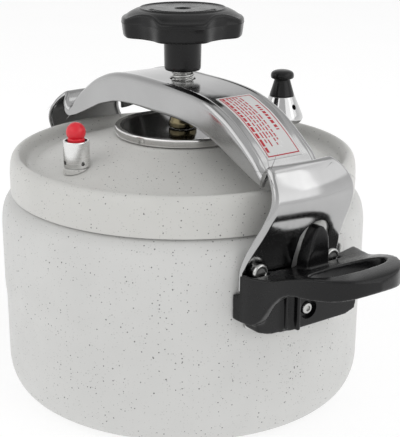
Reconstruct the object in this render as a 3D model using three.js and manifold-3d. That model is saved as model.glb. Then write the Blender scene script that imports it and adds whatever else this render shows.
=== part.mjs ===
// Clamp-yoke pressure canner: a spun pot, a lid held down by a steel yoke and a screw, and two handles.
// Millimetres, +Z up. The origin is the centre of the pot's base, and +X points at one handle.
import * as THREE from 'three';
import { mergeVertices } from 'three/addons/utils/BufferGeometryUtils.js';
import Module from 'manifold-3d';

const wasm = await Module();
wasm.setup();

// ---------------------------------------------------------------- driving dimensions
const GAP = 0.3;                 // left between pieces that touch
const TAU = Math.PI * 2;
const ROUND = 44;                // sides of the pot, the lid and what fits them

const POT_R = 120;               // outer radius of the pot's upper wall
const POT_LOW_R = 119.2;         // outer radius below the small step in the wall
const POT_WALL = 3;
const POT_CORNER = 15.2;         // rounding between wall and base
const NECK_R = 110;              // outer radius of the pot's mouth
const RIM_Z = 149.8;             // top of the pot's mouth

const SKIRT_R = 113.7;           // outer radius of the lid's skirt
const SKIRT_Z = 133.6;           // its lower edge
const LID_T = 2.4;
const GROOVE_R = 100.6;          // groove inside the lid's rolled rim
const GROOVE_Z = 150.4;
const CROWN_R = 44;              // flat crown under the pressure disc
const CROWN_Z = 168.6;

const DISC_R = 44.3;
const DISC_Z0 = CROWN_Z + 0.5;
const DISC_Z1 = 174.4;

const VALVE_Y = -80;             // safety valve and regulator weight stand on the Y axis
const WEIGHT_Y = 84;

const YOKE_T = 2.2;              // sheet thickness
const YOKE_HALF = 23;            // half width of the yoke's channel
const YOKE_TOP_Z = 205;
const FOOT_Z0 = 104;             // lower edge of the yoke's feet
const FOOT_R = 124.8;            // outer radius of a foot's lower end
const SCREW_R = 7.4;
const HUB_Z = 210;               // lower end of the knob's hub
const KNOB_Z0 = 232;
const KNOB_Z1 = 250;
const KNOB_R = 39;
const KNOB_FLUTE_R = 33;
const KNOB_LOBES = 4;
const KNOB_TURN = -35;           // degrees; where the first lobe points

const STUD_Z = 117;
const STUD_Y = [17, -34];        // tangential places of the headed studs beside the +X handle
const STUD_R = 2;
const STUD_HEAD_R = 5.2;
const YOKE_TURN_MM = 4.6;        // how far a foot travels sideways into its slots
const YOKE_LIFT_MM = 4;          // how far tightening lifts the yoke

const NOSE_LEFT = 9.6;           // reach of the handle's nose towards -Y
const NOSE_RIGHT = 6.4;          // and towards +Y
const HANDLE_Z = 88;             // height of the handle bolt
const BRACKET_R0 = 120.4;
const BRACKET_R1 = 121.8;
const RIVET_Y = 27;
const RIVET_Z = 97;

// ---------------------------------------------------------------- materials
const finish = (color, roughness, metalness) => new THREE.MeshStandardMaterial({ color, roughness, metalness });
const coat = finish(0xd6d6d2, 0.5, 0.1);
const lidCoat = finish(0xbdbab5, 0.5, 0.1);
const chrome = finish(0xb8b8b8, 0.15, 1);
const steel = finish(0xc4c4c2, 0.3, 1);
const brass = finish(0xb9a878, 0.3, 1);
const aluminium = finish(0xc9c8c6, 0.35, 1);
const bakelite = finish(0x202021, 0.35, 0);
const rubber = finish(0x8c8c8c, 0.8, 0);
const redSilicone = finish(0xd92f38, 0.45, 0);
const labelFilm = finish(0xf0eeec, 0.5, 0);

// ---------------------------------------------------------------- solids
// A closed geometry becomes a manifold solid: corners are merged and slivers with a repeated corner dropped.
function solid(geometry) {
  const bare = geometry.clone();
  bare.deleteAttribute('normal');
  bare.deleteAttribute('uv');
  const merged = mergeVertices(bare, 1e-4);
  const index = merged.index.array;
  const kept = [];
  for (let i = 0; i < index.length; i += 3) {
    const [a, b, c] = [index[i], index[i + 1], index[i + 2]];
    if (a !== b && b !== c && a !== c) kept.push(a, b, c);
  }
  const triVerts = new Uint32Array(kept);
  const vertProperties = new Float32Array(merged.attributes.position.array);
  return new wasm.Manifold(new wasm.Mesh({ numProp: 3, vertProperties, triVerts }));
}

function geometryOf(body) {
  const mesh = body.getMesh();
  const geometry = new THREE.BufferGeometry();
  geometry.setAttribute('position', new THREE.BufferAttribute(new Float32Array(mesh.vertProperties), 3));
  geometry.setIndex(new THREE.BufferAttribute(new Uint32Array(mesh.triVerts), 1));
  geometry.computeVertexNormals();
  return geometry;
}

const object = new THREE.Group();

function piece(name, body, material) {
  const mesh = new THREE.Mesh(geometryOf(body), material);
  mesh.name = name;
  object.add(mesh);
}

const vectors = (points) => points.map(([x, y]) => new THREE.Vector2(x, y));

// Revolves a closed [radius, z] outline about the Z axis; the outline runs counter-clockwise.
function turned(points, segments = 20, centre = [0, 0]) {
  const outline = vectors(points);
  if (THREE.ShapeUtils.area(outline) < 0) outline.reverse();
  const onAxis = outline.filter((p) => p.x === 0).length;
  if (onAxis) {
    while (!(outline[0].x === 0 && outline[outline.length - 1].x === 0)) outline.push(outline.shift());
  } else {
    outline.push(outline[0].clone());
  }
  const geometry = new THREE.LatheGeometry(outline, segments);
  geometry.rotateX(Math.PI / 2);
  geometry.translate(centre[0], centre[1], 0);
  return solid(geometry);
}

// Extrudes an [x, y] outline upwards, from z0 to z1.
function raised(points, z0, z1) {
  const shape = new THREE.Shape(vectors(points));
  const geometry = new THREE.ExtrudeGeometry(shape, { depth: z1 - z0, bevelEnabled: false });
  geometry.translate(0, 0, z0);
  return solid(geometry);
}

// Extrudes an [x, z] outline sideways, from y0 to y1.
function sideways(points, y0, y1) {
  const shape = new THREE.Shape(vectors(points));
  const geometry = new THREE.ExtrudeGeometry(shape, { depth: y1 - y0, bevelEnabled: false });
  geometry.rotateX(Math.PI / 2);
  geometry.translate(0, y1, 0);
  return solid(geometry);
}

// Extrudes a [y, z] outline outwards, from x0 to x1.
function outwards(points, x0, x1) {
  const shape = new THREE.Shape(vectors(points));
  const geometry = new THREE.ExtrudeGeometry(shape, { depth: x1 - x0, bevelEnabled: false });
  geometry.rotateX(Math.PI / 2);
  geometry.rotateZ(Math.PI / 2);
  geometry.translate(x0, 0, 0);
  return solid(geometry);
}

const rod = (radius, z0, z1, segments = 16, centre = [0, 0]) =>
  turned([[0, z0], [radius, z0], [radius, z1], [0, z1]], segments, centre);

const ring = (inner, outer, z0, z1, segments = 16, centre = [0, 0]) =>
  turned([[inner, z0], [outer, z0], [outer, z1], [inner, z1]], segments, centre);

const block = (x0, x1, y0, y1, z0, z1) => raised([[x0, y0], [x1, y0], [x1, y1], [x0, y1]], z0, z1);

// A round piece whose axis points out along +X at height z and tangential place y.
function radial(points, y, z, segments = 14) {
  return turned(points, segments).rotate([0, 90, 0]).translate([0, y, z]);
}

const radialRod = (radius, x0, x1, y, z, segments = 14) =>
  radial([[0, x0], [radius, x0], [radius, x1], [0, x1]], y, z, segments);

// Points of an arc, angles in degrees from +X.
function arc(cx, cy, radius, from, to, steps) {
  const points = [];
  for (let i = 0; i <= steps; i += 1) {
    const angle = THREE.MathUtils.degToRad(from + ((to - from) * i) / steps);
    points.push([cx + radius * Math.cos(angle), cy + radius * Math.sin(angle)]);
  }
  return points;
}

// Evenly spaced points of a smooth curve through the given ones.
function smooth(points, steps) {
  const curve = new THREE.SplineCurve(vectors(points));
  return curve.getPoints(steps).map((p) => [p.x, p.y]);
}

const mirrored = (points) => points.map(([x, y]) => [x, -y]).reverse();
const flipped = (points) => points.map(([x, y]) => [-x, y]).reverse();
const opposite = (body) => body.rotate([0, 0, 180]);

// ---------------------------------------------------------------- pot
function potBody() {
  const outer = [
    [0, 0],
    ...arc(POT_LOW_R - POT_CORNER, POT_CORNER, POT_CORNER, -90, 0, 4),
    [POT_LOW_R, 64], [POT_R, 73], [POT_R, 117],
    [119.4, 122], [117.6, 127], [114.6, 130.4], [111.6, 132.4],
    [NECK_R, 134.8], [NECK_R, RIM_Z - 1], [NECK_R - 1, RIM_Z],
  ];
  const inner = [
    [NECK_R - POT_WALL + 0.6, RIM_Z], [NECK_R - POT_WALL, RIM_Z - 1],
    [NECK_R - POT_WALL, 133.6], [109.6, 130.2], [113.8, 127], [POT_R - POT_WALL, 117],
    [POT_R - POT_WALL, 73.4], [POT_LOW_R - POT_WALL, 64.4],
    ...arc(POT_LOW_R - POT_CORNER, POT_CORNER, POT_CORNER - POT_WALL, 0, -90, 3),
    [0, POT_WALL],
  ];
  let body = turned([...outer, ...inner], ROUND);
  for (const y of [RIVET_Y, -RIVET_Y]) {
    const hole = radialRod(2.7, 90, 130, y, RIVET_Z, 10);
    body = body.subtract(hole).subtract(opposite(hole));
  }
  return body;
}

// ---------------------------------------------------------------- lid
const lidSlope = (radius) => {
  const t = (radius - CROWN_R) / (GROOVE_R - 2 - CROWN_R);
  return CROWN_Z - t * (CROWN_Z - GROOVE_Z);
};

const lidOuter = [
  [SKIRT_R, SKIRT_Z],
  [SKIRT_R, 148],
  ...arc(SKIRT_R - 6.2, 152.6, 6.2, 0, 110, 5),
  [GROOVE_R + 3, GROOVE_Z + 2.6], [GROOVE_R + 1, GROOVE_Z], [GROOVE_R - 2, GROOVE_Z],
  [CROWN_R + 3, lidSlope(CROWN_R + 3)], [CROWN_R - 1, CROWN_Z],
];

function lidShell() {
  const inner = [
    [0, CROWN_Z - LID_T], [CROWN_R - 1, CROWN_Z - LID_T],
    [GROOVE_R - 2.6, GROOVE_Z - LID_T], [GROOVE_R + 2, GROOVE_Z - LID_T], [GROOVE_R + 4, GROOVE_Z],
    ...arc(SKIRT_R - 6.2, 152.6, 3.8, 140, 0, 5),
    [SKIRT_R - LID_T, 148], [SKIRT_R - LID_T, SKIRT_Z],
  ];
  return turned([...lidOuter, [0, CROWN_Z], ...inner], ROUND)
    .subtract(rod(4.9, 130, 180, 12, [0, VALVE_Y]))
    .subtract(rod(4.9, 130, 180, 12, [0, WEIGHT_Y]))
    .subtract(rod(3.9, 150, 180, 12));
}

// Everything under the lid's outer surface, for pieces that stand on its slope.
const underLid = turned([
  [0, 100], [GROOVE_R, 100], [GROOVE_R, GROOVE_Z], [GROOVE_R - 2, GROOVE_Z + GAP],
  [CROWN_R, CROWN_Z + GAP], [0, CROWN_Z + GAP],
], ROUND);

const lidGasket = () => turned([
  [105.6, RIM_Z + 0.4], [110.9, RIM_Z + 0.4], [110.9, 152.2], [109.4, 154.6], [106.9, 154.6], [105.6, 152.4],
], ROUND);

function pressureDisc() {
  const body = turned([
    [0, DISC_Z0], [DISC_R - 0.6, DISC_Z0], [DISC_R, DISC_Z0 + 0.8], [DISC_R, DISC_Z1 - 1.2],
    [DISC_R - 1, DISC_Z1], [38, DISC_Z1 - 0.3], [20, 172.6], [0, 172.2],
  ], 36);
  const bolt = turned([[0, 160], [3.8, 160], [3.8, 169.2], [7.4, 173], [0, 173]], 16);
  return body.subtract(bolt);
}

const discBolt = () => turned([
  [0, 157.6], [3.4, 157.6], [3.4, 169.4], [6, 172.2 - GAP], [0, 172.2 - GAP],
], 16);

// ---------------------------------------------------------------- safety valve
function safetyValveTube() {
  const upright = turned([
    [0, 150], [8.3, 150], [8.3, 174.4], [7.9, 175], [6.8, 175], [6.8, 166.5], [0, 166.5],
  ], 20, [0, VALVE_Y]);
  let body = upright.subtract(underLid).add(rod(4.5, 145.5, 162, 12, [0, VALVE_Y]));
  body = body.subtract(rod(2.2, 140, 170, 10, [0, VALVE_Y]));
  const vent = turned([[0, 0], [1.3, 0], [1.3, 12], [0, 12]], 8).rotate([90, 0, 0]);
  for (let i = 0; i < 4; i += 1) body = body.subtract(vent.rotate([0, 0, i * 90 - 2]).translate([0, VALVE_Y, 163.5]));
  return body;
}

const safetyPlug = () => turned([
  [0, 168], [4.6, 168], [5.4, 169], [5.4, 176.6],
  ...arc(0, 180, 6.15, -30, 90, 6).slice(0, -1),
  [0, 186.15],
], 20, [0, VALVE_Y]);

// ---------------------------------------------------------------- vent pipe and regulator weight
function ventPipe() {
  const flange = turned([
    [0, 150], [7.5, 150], [7.5, 160], [6.6, 161.5], [3.4, 161.5], [3.4, 172.5], [2, 174.6], [0, 174.6],
  ], 18, [0, WEIGHT_Y]);
  return flange.subtract(underLid)
    .add(rod(4.5, 143, 160, 12, [0, WEIGHT_Y]))
    .subtract(rod(1.3, 130, 180, 8, [0, WEIGHT_Y]));
}

function ventStrainer() {
  let body = turned([
    [0, 138], [7, 138], [8, 139], [8, 146], [6.8, 146], [6.8, 139.4], [0, 139.4],
  ], 18, [0, WEIGHT_Y]);
  for (let i = 0; i < 6; i += 1) {
    const angle = (i * TAU) / 6;
    body = body.subtract(rod(0.9, 130, 150, 6, [3.6 * Math.cos(angle), WEIGHT_Y + 3.6 * Math.sin(angle)]));
  }
  return body;
}

function weightBody() {
  let body = turned([
    [4.1, 164.5], [13.4, 164.5], [15, 166.4], [15, 168.6], [13.6, 172.4], [11.4, 177.4], [8.9, 183],
    [2.9, 183], [2.9, 175.4], [4.1, 174.2],
  ], 20, [0, WEIGHT_Y]);
  const vent = turned([[0, 0], [1.75, 0], [1.75, 16], [0, 16]], 8).rotate([90, 0, 0]);
  for (let i = 0; i < 4; i += 1) body = body.subtract(vent.rotate([0, 0, i * 90 + 7]).translate([0, WEIGHT_Y, 176.5]));
  return body;
}

const weightCap = () => turned([
  [0, 177.2], [2.5, 177.2], [2.5, 183 + GAP], [8.7, 183 + GAP], [5.3, 194.6], [7.6, 195],
  [8.1, 196.6], [7.9, 198.4], [6.2, 200.2], [0, 201],
], 20, [0, WEIGHT_Y]);

// ---------------------------------------------------------------- fasteners
function hexNut(radius, bore, z0, z1, centre = [0, 0]) {
  const corners = [];
  for (let i = 0; i < 6; i += 1) {
    corners.push([centre[0] + radius * Math.cos((i * TAU) / 6), centre[1] + radius * Math.sin((i * TAU) / 6)]);
  }
  return raised(corners, z0, z1).subtract(rod(bore, z0 - 1, z1 + 1, 12, centre));
}

// ---------------------------------------------------------------- yoke
// Top line of the arch from the centre outwards, as [x, z].
const archTop = smooth([
  [0, YOKE_TOP_Z], [24, 205], [45, 203.4], [68, 197.8], [84, 189.6], [96, 181.4], [104, 175], [109, 171],
], 21);
const archLow = smooth([
  [0, 185.4], [35, 185.6], [50, 183], [65, 179.3], [78, 174], [91, 168.6], [105, 163], [117, 161.5],
], 14);
// Outer face of a foot as [radius, z]: the fold at the arch's end, a ridge, and down to the lower edge.
const footFace = smooth([
  [109, 170.6], [113, 169.4], [117, 172.4], [121, 176.2], [124.5, 177.4], [128.5, 174.8], [132, 170],
  [135.4, 163], [136.6, 156], [135.4, 148], [132.4, 138], [128.4, 127], [125.4, 118], [FOOT_R, 112],
  [FOOT_R, FOOT_Z0],
], 28);

// Offsets an open outline to its right-hand side by the sheet thickness.
function inset(points, distance) {
  return points.map(([x, y], i) => {
    const before = points[Math.max(i - 1, 0)];
    const after = points[Math.min(i + 1, points.length - 1)];
    const dx = after[0] - before[0];
    const dy = after[1] - before[1];
    const length = Math.hypot(dx, dy);
    return [x + (dy / length) * distance, y - (dx / length) * distance];
  });
}

function bothSides(half) {
  return [...flipped(half), ...half.slice(1)];
}

function yokeArch() {
  const outline = [...bothSides(archTop), ...bothSides(archLow).reverse()];
  const innerTop = inset(archTop, YOKE_T);
  innerTop[0][0] = 0;
  const cavity = [...bothSides(innerTop), [130, 166], [130, 120], [-130, 120], [-130, 166]];
  const hull = sideways(outline, -YOKE_HALF, YOKE_HALF);
  return hull.subtract(sideways(cavity, -YOKE_HALF + YOKE_T, YOKE_HALF - YOKE_T));
}

// The outline of a foot seen from outside, as [y, z]: wide at the lower -Y corner, upright at +Y.
function footOutline() {
  const left = smooth([
    [-26, 180], [-29, 174], [-29.5, 166], [-31, 158], [-33.5, 150], [-36, 140], [-40, 128], [-42, 117],
  ], 10);
  const right = smooth([
    [28, 116], [26.5, 124], [26, 134], [26.5, 144], [28, 152], [29.5, 160], [28, 167.5], [24, 172.5],
    [18, 176.5], [14, 180],
  ], 12);
  return [...left, [-42, FOOT_Z0], [28, FOOT_Z0], ...right];
}

// The notch that the handle's nose stands in, wide enough for the foot's sideways travel.
function noseNotch() {
  const low = -NOSE_LEFT - 0.6;
  const high = NOSE_RIGHT + 0.8 + YOKE_TURN_MM;
  const crown = arc((low + high) / 2, 133, (high - low) / 2, 0, 180, 7);
  return [[low, 90], [high, 90], ...crown];
}

// Entry slot from the lower edge, and the sideways channel that the stud runs into.
function studSlot(y) {
  const half = STUD_R + 0.4;
  const low = STUD_Z - YOKE_LIFT_MM - half;
  const high = STUD_Z + half;
  const end = y + half + YOKE_TURN_MM;
  return [[y - half, 90], [y + half, 90], [y + half, low], [end, low], [end, high], [y - half, high]];
}

function yokeFoot() {
  const shell = turned([...footFace, ...inset(footFace, YOKE_T).reverse()], 96);
  let foot = shell.intersect(outwards(footOutline(), 90, 150));
  foot = foot.subtract(outwards(noseNotch(), 90, 150));
  for (const y of STUD_Y) foot = foot.subtract(outwards(studSlot(y), 90, 150));
  return foot;
}

function yokeBridge() {
  const foot = yokeFoot();
  return yokeArch().add(foot).add(opposite(foot)).subtract(rod(8.3, 180, 220, 24));
}

const yokeBush = () => turned([
  [7.8, 187.8], [10.6, 187.8], [11, 188.4], [11, 197.6], [15, 198.4], [15, YOKE_TOP_Z - YOKE_T - GAP],
  [7.8, YOKE_TOP_Z - YOKE_T - GAP],
], 24);

function labelPlate() {
  const line = archTop.filter(([x]) => x > 50 && x < 105);
  const lower = inset(line, -GAP);
  const upper = inset(line, -GAP - 0.6);
  return sideways([...lower, ...upper.reverse()], -13, 13);
}

// ---------------------------------------------------------------- screw and knob
function screwSpindle() {
  return turned([
    [0, 178], [4.2, 178], [4.2, 183], [SCREW_R, 183.6], [SCREW_R, 206], [SCREW_R - 0.5, 206.4],
    [SCREW_R - 0.5, 207], [SCREW_R, 207.4], [SCREW_R, 236], [SCREW_R - 1, 237], [3, 237], [3, 226], [0, 226],
  ], 20);
}

const screwFoot = () => turned([
  [0, 172.8], [9.2, 172.8], [9.2, 176.4], [8.4, 178.6], [7.6, 182.6], [4.6, 182.6], [4.6, 177.6], [0, 177.6],
], 24);

const screwCollar = () => ring(SCREW_R + GAP, 11, 184, 187.4, 24);

function knob() {
  const outline = [];
  const steps = 48;
  for (let i = 0; i < steps; i += 1) {
    const angle = (i * TAU) / steps;
    const wave = Math.cos(KNOB_LOBES * (angle - THREE.MathUtils.degToRad(KNOB_TURN)));
    const lobe = THREE.MathUtils.smoothstep(wave, -1.1, 0.2);
    const radius = KNOB_FLUTE_R + (KNOB_R - KNOB_FLUTE_R) * lobe;
    outline.push([radius * Math.cos(angle), radius * Math.sin(angle)]);
  }
  const dome = turned([
    [0, HUB_Z], [11.6, HUB_Z], [12.2, HUB_Z + 1], [12.2, KNOB_Z0], [36, KNOB_Z0], [38.4, KNOB_Z0 + 1.6],
    [39.4, 242], [37, 245.2], [31, 248.2], [27, KNOB_Z1 - 0.4], [26, KNOB_Z1], [0, KNOB_Z1 - 0.6],
  ], 36);
  const lobed = raised(outline, HUB_Z - 1, KNOB_Z1 + 1);
  return dome.intersect(lobed)
    .subtract(rod(SCREW_R + GAP, HUB_Z - 1, 237 + GAP, 24))
    .subtract(rod(3, 236, 245, 12))
    .subtract(rod(4.9, 242, KNOB_Z1 + 1, 16));
}

const knobWasher = () => ring(2.9, 4.5, 242 + GAP, 243.1, 16);

const knobScrew = () => turned([
  [0, 228], [2.5, 228], [2.5, 243.1 + GAP], [4.4, 243.1 + GAP], [4.2, 245], [3, 246], [1.4, 246],
  [1.4, 244.6], [0, 244.6],
], 16);

// ---------------------------------------------------------------- brackets, studs and handles
function bracket() {
  const reach = outwards([[-37, 79], [37, 79], [38.5, 124], [-38.5, 124]], 90, 130);
  let plate = ring(BRACKET_R0, BRACKET_R1, 70, 130, 96).intersect(reach);
  plate = plate.subtract(block(90, 130, STUD_Y[1] + 7, STUD_Y[0] - 7, 110, 130));
  for (const y of STUD_Y) plate = plate.subtract(radialRod(STUD_R + GAP, 90, 130, y, STUD_Z));
  for (const y of [RIVET_Y, -RIVET_Y]) plate = plate.subtract(radialRod(2.7, 90, 130, y, RIVET_Z, 10));
  return plate.subtract(radialRod(3.4, 110, 130, 0, HANDLE_Z));
}

// Distance out along X to a given radius, at tangential place y.
const outTo = (radius, y) => Math.sqrt(radius * radius - y * y);

const stud = (y) => {
  const start = outTo(BRACKET_R0 + 0.4, y);
  const seat = outTo(FOOT_R + 1.2, y) + 2.8;
  return radial([
    [0, start], [STUD_R, start], [STUD_R, seat], [STUD_HEAD_R, seat], [STUD_HEAD_R, seat + 1.8],
    [STUD_HEAD_R - 0.8, seat + 2.6], [0, seat + 2.6],
  ], y, STUD_Z);
};

const wallRivet = (y) => {
  const outside = outTo(BRACKET_R1, y);
  const inside = outTo(POT_R - POT_WALL, y) - 1.6;
  return radial([
    [0, inside - 1.8], [3.6, inside - 1.2], [4.6, inside - GAP], [2.3, inside - GAP],
    [2.3, outside + 1.2], [4.6, outside + 1.2], [3.6, outside + 2.4], [0, outside + 3],
  ], y, RIVET_Z, 12);
};

const bracketNut = () => radial([
  [3.8, BRACKET_R1 + GAP], [5.4, BRACKET_R1 + GAP], [5.4, 124.5], [3.8, 124.5],
], 0, HANDLE_Z, 6);

const handleBolt = () => radial([
  [0, BRACKET_R1 - 0.6], [2.9, BRACKET_R1 - 0.6], [2.9, 126.8], [5.4, 126.8], [5.4, 128.6], [4.4, 129.8],
  [1.6, 129.8], [1.6, 128.2], [0, 128.2],
], 0, HANDLE_Z);

// Plan of the handle's loop, one half from the pot outwards, as [x, y].
const loopEdge = smooth([
  [104, 44.4], [122, 43.4], [136, 39.6], [152, 36.4], [166, 32.4], [177, 25], [184, 14], [187, 0],
], 16);
const holeEdge = smooth([
  [148.4, 0], [149.6, 12], [154, 22], [160, 25.4], [166, 22], [169.4, 12], [170.4, 0],
], 12);

function handle() {
  const plan = raised([...loopEdge, ...mirrored(loopEdge).slice(1)], 60, 150);
  const side = sideways([
    [100, 86.5], [127, 86.5], [132.4, 90.5], [140, 102], [147, 109.6], [154, 112], [180, 112.4],
    [185.4, 114.6], [188, 119], [187, 123.4], [181, 126.4], [164, 125], [150, 121.2], [140, 117.6],
    [130, 116.2], [100, 114.4],
  ], -50, 50);
  const hollow = outwards([[-34, 70], [34, 70], [34, 104], [28, 109], [-28, 109], [-34, 104]], 129, 158)
    .intersect(sideways([[110, 60], [158, 60], [158, 109], [129, 109], [110, 90]], -40, 40));
  const backPlate = outwards([[-38, 82], [-30, 79], [-12, 77], [30, 77], [38, 79.4], [41, 112], [-41, 112]], 108, 129);
  const ribs = block(128, 133, -11.6, -9, 78, 110).add(block(128, 132, -19.6, -18, 80, 110));
  const nose = outwards([
    [-NOSE_LEFT, 108], [NOSE_RIGHT, 108], [NOSE_RIGHT, 133], [5.2, 137.6], [2.8, 140.6], [0.4, 141.6],
    [-2.2, 140.4], [-5, 136.4], [-NOSE_LEFT, 122],
  ], 127, 138).intersect(sideways([[126, 100], [150, 100], [142, 118], [138, 128], [136.6, 144], [129, 144]], -20, 20));
  const finger = raised([...holeEdge, ...mirrored(holeEdge).slice(1, -1)], 90, 140);
  let body = plan.intersect(side).subtract(hollow).add(backPlate).add(ribs).add(nose).subtract(finger);
  body = body.subtract(rod(POT_R + 0.5, 60, 150, 96));
  body = body.subtract(ring(100, FOOT_R + 1.2, FOOT_Z0 - 1.5, 150, 96));
  body = body.subtract(rod(BRACKET_R1 + GAP, 60, 150, 96).intersect(block(90, 130, -39, 39, 78, 150)));
  for (const y of STUD_Y) {
    const seat = outTo(FOOT_R + 1.2, y);
    body = body.subtract(radialRod(STUD_HEAD_R + 0.8, seat - 6, seat + 5.8, y, STUD_Z));
  }
  for (const y of [RIVET_Y, -RIVET_Y]) body = body.subtract(radialRod(5.4, 100, 126.4, y, RIVET_Z));
  return body.subtract(radialRod(6, 100, 124.9, 0, HANDLE_Z))
    .subtract(radialRod(3.3, 100, 130, 0, HANDLE_Z))
    .subtract(radialRod(6.2, 126.5, 140, 0, HANDLE_Z));
}

// ---------------------------------------------------------------- assembly
piece('pot_body', potBody(), coat);
piece('lid_shell', lidShell(), lidCoat);
piece('lid_gasket', lidGasket(), rubber);
piece('pressure_disc', pressureDisc(), steel);
piece('disc_bolt', discBolt(), steel);
piece('disc_bolt_washer', ring(4, 9, 164.8, 165.9, 16), steel);
piece('disc_bolt_nut', hexNut(6.8, 3.9, 158.8, 164.5), steel);

piece('safety_valve_tube', safetyValveTube(), aluminium);
piece('safety_valve_nut', hexNut(7.4, 4.9, 146.4, 151, [0, VALVE_Y]), steel);
piece('safety_plug', safetyPlug(), redSilicone);

piece('vent_pipe', ventPipe(), steel);
piece('vent_pipe_nut', hexNut(7.4, 4.9, 146.4, 150, [0, WEIGHT_Y]), steel);
piece('vent_strainer', ventStrainer(), steel);
piece('weight_body', weightBody(), chrome);
piece('weight_cap', weightCap(), bakelite);

piece('yoke_bridge', yokeBridge(), chrome);
piece('yoke_bush', yokeBush(), brass);
piece('label_plate', labelPlate(), labelFilm);

piece('screw_spindle', screwSpindle(), steel);
piece('screw_foot', screwFoot(), brass);
piece('screw_collar', screwCollar(), steel);
piece('knob', knob(), bakelite);
piece('knob_washer', knobWasher(), steel);
piece('knob_screw', knobScrew(), steel);

for (const [side, place] of [['right', (body) => body], ['left', opposite]]) {
  piece(`bracket_${side}`, place(bracket()), steel);
  piece(`handle_${side}`, place(handle()), bakelite);
  piece(`bracket_nut_${side}`, place(bracketNut()), steel);
  piece(`handle_bolt_${side}`, place(handleBolt()), steel);
  STUD_Y.forEach((y, i) => piece(`stud_${side}_${i + 1}`, place(stud(y)), steel));
  [RIVET_Y, -RIVET_Y].forEach((y, i) => piece(`bracket_rivet_${side}_${i + 1}`, place(wallRivet(y)), aluminium));
}

export default object;
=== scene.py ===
"""The looks of a clamp-yoke pressure canner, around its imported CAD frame. Lengths are in millimetres."""
import math
import random

import bmesh
import bpy
from mathutils import Matrix, Vector


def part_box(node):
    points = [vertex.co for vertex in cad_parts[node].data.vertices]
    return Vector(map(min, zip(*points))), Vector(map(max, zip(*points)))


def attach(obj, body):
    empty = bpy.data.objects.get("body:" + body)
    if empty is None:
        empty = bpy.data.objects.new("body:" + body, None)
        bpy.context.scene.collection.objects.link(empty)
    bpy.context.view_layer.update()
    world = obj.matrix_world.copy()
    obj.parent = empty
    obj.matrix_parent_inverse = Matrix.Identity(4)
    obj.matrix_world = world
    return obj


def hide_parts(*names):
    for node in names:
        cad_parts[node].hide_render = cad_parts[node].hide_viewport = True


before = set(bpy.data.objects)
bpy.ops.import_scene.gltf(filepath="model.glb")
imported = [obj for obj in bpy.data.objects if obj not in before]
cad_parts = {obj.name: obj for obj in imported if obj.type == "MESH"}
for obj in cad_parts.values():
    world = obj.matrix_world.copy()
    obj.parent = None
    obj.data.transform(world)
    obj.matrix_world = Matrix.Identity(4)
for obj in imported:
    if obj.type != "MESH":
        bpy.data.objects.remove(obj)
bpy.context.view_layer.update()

MM = 0.001
HALF_TURN = Matrix.Rotation(math.pi, 4, "Z")
ALONG_X = Matrix.Rotation(math.pi / 2, 4, "Y")     # turns an axis along Z to point along +X


def span(node):
    """Lowest and highest corner of a CAD node, in millimetres."""
    low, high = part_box(node)
    return Vector(low) / MM, Vector(high) / MM


# ---- driving sizes, from the frame
POT_HIGH = span("pot_body")[1]
POT_R = POT_HIGH.x
RIM_Z = POT_HIGH.z
LID_LOW, LID_HIGH = span("lid_shell")
SKIRT_R = LID_HIGH.x
SKIRT_Z = LID_LOW.z
CROWN_Z = LID_HIGH.z
DISC_LOW, DISC_HIGH = span("pressure_disc")
DISC_R = DISC_HIGH.x
YOKE_TOP = 205.0
FOOT_Z = span("yoke_bridge")[0].z
VALVE_Y = sum(corner.y for corner in span("safety_valve_tube")) / 2
WEIGHT_Y = sum(corner.y for corner in span("weight_body")) / 2
SCREW_R = span("screw_spindle")[1].x

CAMERA_AZIMUTH = 55.0      # degrees; 0 looks along +Y
CAMERA_FAR = 701.0         # from the pot's axis
CAMERA_Z = 342.0
CAMERA_PITCH = 18.4        # degrees below level
CAMERA_LENS = 90.3
CAMERA_SHIFT = 0.0396


# ---- mesh helpers
def mesh_object(name, verts, faces):
    """A mesh object from points in millimetres, with its normals facing out."""
    mesh = bpy.data.meshes.new(name)
    mesh.from_pydata([Vector(v) * MM for v in verts], [], faces)
    mesh.validate()
    piece = bpy.data.objects.new(name, mesh)
    bpy.context.collection.objects.link(piece)
    tidy_mesh(piece)
    return piece


def tidy_mesh(piece, angle=38.0):
    """Merges doubles, turns faces outwards, and shades smooth with sharp edges kept."""
    bm = bmesh.new()
    bm.from_mesh(piece.data)
    bmesh.ops.remove_doubles(bm, verts=bm.verts, dist=1e-6)
    bmesh.ops.recalc_face_normals(bm, faces=bm.faces)
    limit = math.radians(angle)
    for face in bm.faces:
        face.smooth = True
    for edge in bm.edges:
        edge.smooth = len(edge.link_faces) != 2 or edge.calc_face_angle(0.0) < limit
    bm.to_mesh(piece.data)
    bm.free()


def dress(piece, body, slot, material, *nodes):
    """Puts a finished piece on its body, with its material and the CAD nodes that it stands for."""
    piece.data.materials.clear()
    piece.data.materials.append(material)
    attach(piece, body)
    if nodes:
        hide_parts(*nodes)
    return piece


def turned(node_name, outline, body, slot, material, steps=96, centre=(0.0, 0.0), loop=False, corner=5):
    """A finished round piece that stands for one CAD node."""
    piece = spin(f"{node_name}_finish", soften(outline, loop, corner), steps, centre, loop)
    return dress(piece, body, slot, material, node_name)


def soften(outline, loop=False, steps=5):
    """Rounds each point of an outline that has a third value, its fillet size."""
    points = []
    count = len(outline)
    for i, point in enumerate(outline):
        size = point[2] if len(point) > 2 else 0.0
        here = Vector(point[:2])
        if not size or (not loop and i in (0, count - 1)):
            points.append(tuple(here))
            continue
        back = Vector(outline[i - 1][:2]) - here
        ahead = Vector(outline[(i + 1) % count][:2]) - here
        start = here + back.normalized() * min(size, back.length * 0.49)
        end = here + ahead.normalized() * min(size, ahead.length * 0.49)
        for k in range(steps + 1):
            t = k / steps
            points.append(tuple(start.lerp(here, t).lerp(here.lerp(end, t), t)))
    return points


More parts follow.
